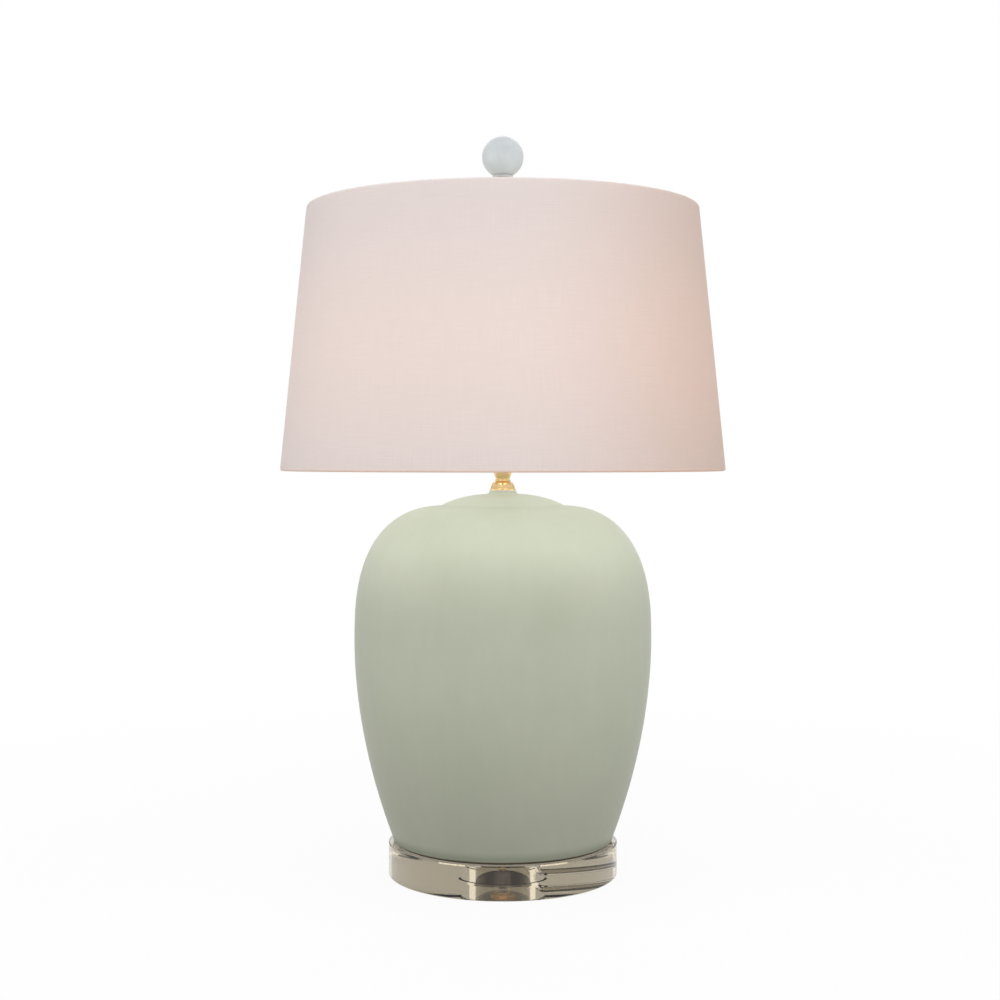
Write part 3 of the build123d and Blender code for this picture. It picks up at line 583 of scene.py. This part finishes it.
def fibre_card():
    """The socket's insulating card: grey-brown fibres, drawn out up the socket."""
    f = Finish("grey_card")
    fibre = f.noise(f.place((1, 1, 0.2)), 1400.0, 4.0, 0.7, 1.0)
    colour = f.mix(fibre.within(0.3, 0.75), (0.20, 0.175, 0.14), (0.42, 0.37, 0.30))
    return f.done(f.surface(base_color=colour, roughness=0.85, normal=f.bump(fibre, 0.06 * mm)))


def clear_glass():
    """The bulb's inner stem: clear glass with a slight ripple."""
    f = Finish("clear_glass")
    ripple = f.noise(f.place(), 120.0, 2.0)
    return f.done(f.surface(base_color=(0.97, 0.98, 0.98), roughness=0.02, transmission_weight=1.0, ior=1.5,
                            normal=f.bump(ripple, 0.03 * mm)))


finishes = {made.name: made for made in (
    acrylic(), felt(), celadon(), linen(), styrene(), frosted(), fibre_card(), clear_glass(),
    # metal: name, bright, dark, roughness
    metal("brass", (0.87, 0.62, 0.31), (0.50, 0.31, 0.11), 0.20, on_lathe=True, patina=0.20),
    metal("brass_plate", (0.74, 0.54, 0.27), (0.44, 0.29, 0.12), 0.28, relief=0.0015 * mm, patina=0.35),
    metal("zinc_steel", (0.86, 0.85, 0.82), (0.60, 0.59, 0.56), 0.30, patina=0.3),
    metal("aluminium_thread", (0.80, 0.80, 0.80), (0.55, 0.55, 0.55), 0.30, patina=0.3),
    metal("filament_wire", (0.35, 0.33, 0.31), (0.22, 0.20, 0.19), 0.45),
    # moulded: name, colour, roughness
    # the pad's near-black brown is partly its own colour and partly painted shadow: it darkens the line
    # under the jar's foot
    moulded("dark_pad", (0.045, 0.031, 0.017), 0.8, relief=0.08 * mm, vary=0.3),
    # partly the ring's own cream and partly a painted highlight: its colour is lightened almost to white
    moulded("cream_ring", (0.93, 0.91, 0.80), 0.28, relief=0.01 * mm),
    moulded("phenolic", (0.018, 0.014, 0.011), 0.38, relief=0.03 * mm, vary=0.4),
    moulded("knob_plastic", (0.016, 0.012, 0.009), 0.30, vary=0.4),
    moulded("black_glass", (0.012, 0.012, 0.016), 0.12, relief=0.005 * mm, vary=0.3),
    moulded("ring_wire", (0.78, 0.76, 0.70), 0.42),
    # stone: name, the node whose height its painted shading runs over, pale, deep, vein, scale, roughness
    stone("pale_stone", "finial_collar",
          (0.93, 0.93, 0.94), (0.90, 0.90, 0.91), (0.87, 0.87, 0.87), 60.0, 0.34),
    stone("jade_stone", "finial_ball",
          (0.655, 0.685, 0.70), (0.585, 0.62, 0.64), (0.64, 0.67, 0.68), 38.0, 0.38),
)}
for row in frame["record"]["subparts"]:
    frame["nodes"][row["node"]].material_slots[0].material = finishes[row["material_slot"]]


# ---------------------------------------------------------------- porcelain
def belly_line(inset, low, high, steps):
    """The jar's outline between two heights, moved in by a wall.

    Below the belly, r = belly - (belly - foot) s^lower, where s is the share of the way down to the foot.
    Above it, a quarter turn t gives r = seat + (belly - seat) cos(t)^(2 / root) and
    z = belly height + rise sin(t)^(2 / power), which carries the wall over to the lid's seat.
    """
    z = np.linspace(low, jar_belly_z, steps)
    share = (jar_belly_z - z) / (jar_belly_z - foot_z - jar_foot_round)
    lower = np.stack([jar_belly_r - (jar_belly_r - jar_foot_r) * share ** jar_lower_power - inset, z], -1)
    turn = np.linspace(0, math.pi / 2, steps + 12)
    turn = turn - 0.12 * np.sin(4 * turn)    # evens out the spaces between the points
    across, along = np.cos(turn) ** (2 / jar_upper_root), np.sin(turn) ** (2 / jar_upper_power)
    upper = np.stack([jar_seat_r + (jar_belly_r - inset - jar_seat_r) * across,
                      jar_belly_z + (high - jar_belly_z) * along], -1)
    return joined(lower, upper)


def thrown(r, h, a):
    """The slight wander of a wheel-thrown wall: a sum of slow waves round and up it, under 0.2 mm.

    It grows from nothing 40 mm from the axis to its full size 100 mm from it.
    """
    waves = np.sin(2 * a + 0.7) + 0.6 * np.sin(3 * a + 31 * h) + 0.35 * np.sin(5 * a - 47 * h + 1.1)
    return 0.07 * mm * waves * np.clip((r - 40 * mm) / (60 * mm), 0, 1)


def jar():
    """The belly's outline outside and, moved in by the wall, inside, with a ring foot, a floor and a mouth.

    Straight runs with eased corners, and an arc at the foot's edge, join the two.
    """
    under_z = foot_z + jar_foot_rise
    floor_z, roof_z = under_z + jar_floor, seat_z - jar_wall
    foot_in = jar_foot_r - jar_foot_ring_w
    foot_turn = jar_foot_r - jar_foot_round
    outside = belly_line(0, foot_z + jar_foot_round, seat_z, 70)
    inside = belly_line(jar_wall, floor_z, roof_z, 30)[::-1]
    line = joined(
        rounded((jar_hole_r, under_z), (foot_in, under_z, 1 * mm), (foot_in + 0.6 * mm, foot_z, 0.8 * mm),
                (foot_turn, foot_z)),
        ring_line((foot_turn, foot_z + jar_foot_round), jar_foot_round, -90, 0),
        outside,
        rounded((jar_seat_r, seat_z), (jar_mouth_r, seat_z, 1.5 * mm), (jar_mouth_r, roof_z, 2 * mm),
                (jar_seat_r, roof_z)),
        inside,
        rounded(inside[-1], (jar_hole_r, floor_z), (jar_hole_r, under_z)))
    return turned("ginger_jar", line, 320, thrown)


def lid():
    """A dome in one arc, with a thin eased lip over the seat, a boss on top and a skirt inside the mouth."""
    dome_z, inner_z = seat_z + lid_top_h, seat_z + lid_top_h - lid_wall
    skirt_z = seat_z - lid_skirt_h
    skirt_r, skirt_in = jar_mouth_r - 1.2 * mm, jar_mouth_r - 5.2 * mm
    lip_r, lip_under = lid_r + 2.6 * mm, seat_z - 0.1 * mm
    dome = bow((lid_r, seat_z + 0.9 * mm), (lid_mid_r, seat_z + lid_mid_h),
               (boss_r + 4.2 * mm, dome_z - 0.75 * mm), 48)[4:]
    line = joined(
        rounded((skirt_in, skirt_z), (skirt_r, skirt_z, 1 * mm), (skirt_r, lip_under), (lip_r, lip_under),
                (lip_r, seat_z)),
        flowing((lip_r, seat_z), (lid_r + 0.6 * mm, seat_z + 0.35 * mm), dome[0]),
        dome,
        rounded(dome[-1], (boss_r + 0.25 * mm, dome_z - 0.2 * mm, 2.2 * mm), (boss_r, boss_z, 0.7 * mm),
                (jar_hole_r, boss_z)),
        [(jar_hole_r, boss_z), (jar_hole_r, inner_z)],
        bow((jar_hole_r, inner_z), (32 * mm, seat_z + 4 * mm), (skirt_in, seat_z), 16),
        [(skirt_in, skirt_z)])
    return turned("jar_dome", line, 256, thrown)


# ---------------------------------------------------------------- turned brass and stone
def collar():
    """A flat ring with eased edges."""
    line = rounded((neck_hole_r, boss_z), (ring_collar_r, boss_z, 0.3 * mm),
                   (ring_collar_r, collar_z, 0.35 * mm), (neck_hole_r, collar_z), (neck_hole_r, boss_z))
    return turned("neck_washer", line, 128)


def neck():
    """The turned neck in runs: a straight foot lip, a smooth cove, a bead as an arc, a flare and a cup."""
    at = above(collar_z)
    line = joined(
        rounded((neck_hole_r, collar_z), at(12.7, 0, 0.2), at(12.7, 0.9, 0.35), at(12.0, 1.5)),
        flowing(*plain(at(12.0, 1.5), at(11.2, 4.4), at(9.4, 7.3), at(7.2, 8.3))),
        bow(*plain(at(7.2, 8.3), at(7.7, 9.1), at(7.2, 9.9)), 10),
        flowing(*plain(at(7.2, 9.9), at(6.9, 11.0), at(8.3, 14.8), at(9.2, 17.8))),
        rounded(at(9.2, 17.8), at(10.6, 19.4, 0.5), (10.6 * mm, neck_top_z, 0.6 * mm),
                (neck_hole_r, neck_top_z), (neck_hole_r, collar_z)))
    return turned("turned_neck", line, 128, crease=50)


def pedestal():
    """The finial's brass foot, swelling, waist and cup as one smooth run, and a pin up into the stones."""
    z, top = level("finial_base", 0), level("finial_collar", 0)
    hole_r, hole_top = 3.275 * mm, z + 13 * mm
    pin_top = top + 14 * mm
    at = above(z)
    line = joined(
        [(0, hole_top), (hole_r, hole_top)],
        rounded((hole_r, z + 0.4 * mm), (hole_r + 0.4 * mm, z), at(9.0, 0, 0.25), at(9.0, 1.6, 0.4),
                at(7.8, 2.2)),
        flowing(*plain(at(7.8, 2.2), at(5.4, 7.5), at(7.8, 15.0), at(4.2, 27.0), at(8.8, 36.3))),
        rounded(at(8.8, 36.3), (8.8 * mm, top, 0.5 * mm), (pin_r, top), (pin_r, pin_top, 0.5 * mm),
                (0, pin_top)))
    return turned("finial_pedestal", line, 112, crease=50)


def ball_place():
    """The ball's centre height and radius."""
    low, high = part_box("finial_ball")
    return high.z - high.x, high.x


def ball_collar():
    """A flat stone ring whose top is hollowed to the ball's radius: z = centre - sqrt(R^2 - r^2)."""
    low, hole_r, rim_r = level("finial_collar", 0), pin_r + 0.1 * mm, stone_collar_r - 0.3 * mm
    centre, ball_r = ball_place()

    def hollow(r):
        """The hollow's point at a radius, a hair clear of the ball."""
        return r, centre - math.sqrt((ball_r + 0.05 * mm) ** 2 - r ** 2)
    rim = hollow(rim_r)
    line = joined(
        rounded((hole_r, low), (stone_collar_r, low, 0.7 * mm), (stone_collar_r, rim[1], 0.3 * mm), rim),
        bow(rim, hollow(6 * mm), hollow(hole_r), 12),
        [(hole_r, low)])
    return turned("finial_ring", line, 112)


def ball():
    """A sphere: r = R cos t, z = centre + R sin t, from pole to pole."""
    centre, ball_r = ball_place()
    line = ring_line((0, centre), ball_r, -90, 90, 96)
    line[[0, -1], 0] = 0
    return turned("finial_stone", line, 144)


# ---------------------------------------------------------------- shade
def cone_r(z, depth=0.0):
    """The shade's radius at a height, a depth inside its outer face: straight from bottom to top."""
    return shade_bottom_r + (shade_top_r - shade_bottom_r) * (z - shade_low) / shade_h - depth / lean_cos


def lap(r, h, a):
    """The glued lap at the back: over its width the outer face stands out, in a ramp at its two edges."""
    off = np.abs((a - math.pi / 2 + math.pi) % (2 * math.pi) - math.pi) * shade_bottom_r
    outer = r > cone_r(h, cloth_t / 2)
    return lap_rise * np.clip((lap_w / 2 - off) / lap_ease, 0, 1) * outer


def lap_angles(count):
    """Even angles round, with close ones at the lap's two edges."""
    even = np.linspace(0, 2 * math.pi, count, endpoint=False)
    off = np.abs(even - math.pi / 2) * shade_bottom_r
    close = lap_w / 2 + np.linspace(-1.2, 0.4, 5) * mm
    edges = math.pi / 2 + np.concatenate([-close, close]) / shade_bottom_r
    clear = (off > lap_w / 2 + 1.0 * mm) | (off < lap_w / 2 - 2.2 * mm)
    return np.sort(np.concatenate([even[clear], edges]))


def cloth():
    """A conical wall, cone_r on both faces, with its edges rolled round the wires in arcs.

    Each edge is tucked behind the wall and ends in a short lip.
    """
    lean = math.degrees(math.acos(lean_cos))
    low_z, high_z = shade_low + hem_r, shade_high - hem_r
    low_lip, high_lip = low_z + lip_h, high_z - lip_h
    lip_front = cloth_t + liner_t + 0.15 * mm
    lip_back = lip_front + cloth_t
    lip_slope, lip_round = 0.2 * mm, 0.25 * mm
    roll_end, wall_end = 2.6 * mm, 3.2 * mm
    wall_z = low_z + (high_z - low_z) * np.linspace(0, 1, 24)[1:-1]

    def behind(z, depth, rise=0, rounding=0):
        """A corner a depth inside the outer face, raised along the axis."""
        return cone_r(z, depth), z + rise, rounding
    line = joined(
        rounded(behind(low_lip, lip_front), behind(low_lip, lip_back, -lip_slope, lip_round),
                behind(low_z + roll_end, lip_back)),
        ring_line((cone_r(low_z, hem_r), low_z), hem_r, 172, 360 + lean, 22),
        np.stack([cone_r(wall_z), wall_z], -1),
        ring_line((cone_r(high_z, hem_r), high_z), hem_r, lean, 188, 22),
        rounded(behind(high_z - roll_end, lip_back), behind(high_lip, lip_back, 0, lip_round),
                behind(high_lip, lip_front, lip_slope)),
        plain(behind(high_z - wall_end, lip_front), behind(high_z - wall_end, cloth_t)),
        np.stack([cone_r(wall_z, cloth_t), wall_z], -1)[-2:0:-1],
        plain(behind(low_z + wall_end, cloth_t), behind(low_z + wall_end, lip_front),
              behind(low_lip, lip_front)))
    return turned("linen_shade", line, lap_angles(400), lap)


def lining():
    """The cone again, as a thin sheet just inside the cloth, between the two rolled edges."""
    gap = 2 * hem_r + 0.3 * mm
    front = cloth_t + 0.05 * mm
    z = np.linspace(shade_low + gap, shade_high - gap, 16)
    line = joined(np.stack([cone_r(z, front), z], -1), np.stack([cone_r(z, front + liner_t), z], -1)[::-1],
                  [(cone_r(z[0], front), z[0])])
    return turned("shade_lining", line, 320)


# ---------------------------------------------------------------- threads
def rod():
    """The all-thread rod: a cut thread where it shows in the disc, and plain inside the jar."""
    low, top = level("threaded_rod", 0), level("threaded_rod", 1)
    bore, depth, chamfer = 3.0 * mm, 0.5 * mm, 0.5 * mm
    root, plain_r = rod_r - depth, rod_r - 0.1 * mm
    start, end = low + chamfer, base_top + 2 * mm
    return threaded("lamp_rod", rod_r, depth, fine_pitch, start, end,
                    [(bore, low), (root, low), (root, start)],
                    [(root, end), (plain_r, end + 1 * mm), (plain_r, top), (bore, top), (bore, low)])


def bulb_screw():
    """The bulb's rolled screw cap: a thin cup with a round thread."""
    low, high = level("bulb_cap", 0), level("bulb_cap", 1)
    r, depth, wall, tip_r = reach("bulb_cap"), 0.85 * mm, 0.6 * mm, 8.9 * mm
    root = r - depth
    start, end = low + 2.2 * mm, high - 3.4 * mm
    below = rounded((tip_r, low), (r - 1.2 * mm, low, 0.8 * mm), (root, start))
    shoulder = rounded((root, end), (r - 0.6 * mm, high - 2 * mm, 0.4 * mm), (r - 0.4 * mm, high, 0.3 * mm),
                       (r - 0.2 * mm - wall, high))
    inside = [(root - wall, high - 3 * mm), (root - wall, low + wall), (tip_r, low + wall), (tip_r, low)]
    return threaded("bulb_screw_cap", r, depth, bulb_pitch, start, end, below, joined(shoulder, inside),
                    thread_rows=14, angles=96)


def stud():
    """The harp's swivel stud: rivet, neck, flange and a fine thread for the finial."""
    low, top = level("harp_swivel_stud", 0), level("harp_swivel_stud", 1)
    r, depth, rivet_r, neck_r, flange_r = 3.175 * mm, 0.42 * mm, 3.8 * mm, 2.4 * mm, 9.5 * mm
    root = r - depth
    flange_z = level("harp_bow", 1) + 0.2 * mm
    flange_top = flange_z + 1.5 * mm
    start, end = flange_z + 3.9 * mm, top - 1 * mm
    below = rounded((0, low), (rivet_r, low, 0.35 * mm), (rivet_r, low + 1 * mm), (neck_r, low + 1 * mm),
                    (neck_r, flange_z), (flange_r, flange_z, 0.25 * mm), (flange_r, flange_top, 0.4 * mm),
                    (root, flange_top), (root, start))
    return threaded("swivel_screw", r, depth, fine_pitch, start, end, below,
                    [(root, end), (r - 0.7 * mm, top), (0, top)], thread_rows=12, angles=64)


# ---------------------------------------------------------------- pieces on their bodies
def fit(piece, body, slot, *replaced):
    """Put a piece on its body, in its slot's finish, in place of the CAD nodes that it stands for."""
    piece.data.materials.append(finishes[slot])
    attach(piece, body)
    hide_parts(*replaced)
    return piece


fit(jar(), "lamp", "celadon_glaze", "jar_body")
fit(lid(), "lamp", "celadon_glaze", "jar_lid")
fit(collar(), "lamp", "cream_ring", "collar_ring")
fit(neck(), "lamp", "brass", "brass_neck")
fit(rod(), "lamp", "zinc_steel", "threaded_rod")
fit(bulb_screw(), "bulb", "aluminium_thread", "bulb_cap")
fit(stud(), "swivel", "brass_plate", "harp_swivel_stud")
fit(pedestal(), "finial", "brass", "finial_base")
fit(ball_collar(), "finial", "pale_stone", "finial_collar")
fit(ball(), "finial", "jade_stone", "finial_ball")
fit(lining(), "shade", "shade_styrene", "shade_liner")

shade = fit(cloth(), "shade", "shade_linen", "shade_cloth")


# ---------------------------------------------------------------- studio
room_light = 0.32
floor_gap = 0.25 * mm
floor_half = 6.0
lamps = {
    # name: (place, aim, size, watts), in metres
    "front_softbox": ((0, -2.6, 1.3), (0, 0, 0.4), (2.4, 1.6), 29),
    "top_softbox": ((0, -0.5, 2.4), (0, 0, 0.3), (2.0, 1.6), 14),
    "left_softbox": ((-2.2, -0.10, 0.8), (0, 0, 0.32), (2.4, 1.6), 13.5),
    "right_softbox": ((2.2, -0.25, 0.8), (0, 0, 0.32), (2.4, 1.6), 15),
    "back_softbox": ((0, 2.2, 2.1), (0, 0, 0.4), (2.4, 1.2), 14),
}


def studio_floor():
    """A wide floor: white to the camera with a soft shadow near the lamp, and warm grey for its bounce.

    Its one face spans x and y from -half to half, a hair below the lamp.
    """
    shadow_end, white_start, white_near = 0.35, 1.3, 0.93
    f = Finish("studio_floor")
    shown = f.shown()
    x, y, _ = f.parts(f.place())
    away = ((x * x + y * y) ** 0.5).within(shadow_end, white_start)
    lit = f.surface(base_color=f.mix(shown, (0.32, 0.30, 0.27), (0.90, 0.90, 0.90)), roughness=0.9)
    white = f.add("ShaderNodeEmission", {}, {"Color": (1, 1, 1), "Strength": 1.0})
    share = shown * (white_near + away * (1 - white_near))
    both = f.add("ShaderNodeMixShader", {}, {0: share, 1: lit, 2: white})
    across, along = np.meshgrid((-floor_half, floor_half), (-floor_half, floor_half))
    grid = np.stack([across, along, np.full((2, 2), -floor_gap)], -1)
    floor = skin("studio_floor", grid, around=False, closed=False)
    floor.data.materials.append(f.done(both))


def softbox(name, place, aim, size, watts):
    """A rectangular studio lamp at a place, turned to its aim."""
    lamp = bpy.data.lights.new(name, "AREA")
    lamp.shape, lamp.size, lamp.size_y, lamp.energy = "RECTANGLE", *size, watts
    holder = bpy.data.objects.new(name, lamp)
    bpy.context.scene.collection.objects.link(holder)
    holder.location = place
    x, y, z = np.array(place, float) - np.array(aim, float)
    holder.rotation_euler = (math.atan2(math.hypot(x, y), z), 0, math.atan2(x, -y))


def sky():
    """White where it is seen, and a plain soft light for diffuse surfaces."""
    bpy.context.scene.world = bpy.data.worlds.new("studio")
    f = Finish(bpy.context.scene.world)
    strength = room_light + f.shown() * (1 - room_light)
    back = f.add("ShaderNodeBackground", {}, {"Color": (1, 1, 1), "Strength": strength})
    f.add("ShaderNodeOutputWorld", {}, {"Surface": back}, out=None)


def camera():
    """Level, about a centimetre above the shade's lower edge.

    The distance and the lens are those that the photograph's edges give.
    """
    focal_px, frame_px, distance, height = 1650.0, 1000.0, 1.612, 0.4037
    horizon_px, axis_px = 458.0, 502.8
    lens = bpy.data.cameras.new("camera")
    lens.sensor_width, lens.lens = 36.0, 36.0 * focal_px / frame_px
    lens.shift_y = horizon_px / frame_px - 0.5
    lens.clip_end = 50.0
    holder = bpy.data.objects.new("camera", lens)
    bpy.context.scene.collection.objects.link(holder)
    holder.location = (-(axis_px - frame_px / 2) / focal_px * distance, -distance, height)
    holder.rotation_euler = (math.pi / 2, 0, 0)
    bpy.context.scene.camera = holder


studio_floor()
sky()
for name, settings in lamps.items():
    softbox(name, *settings)
camera()
bpy.context.scene.view_settings.view_transform = "Standard"
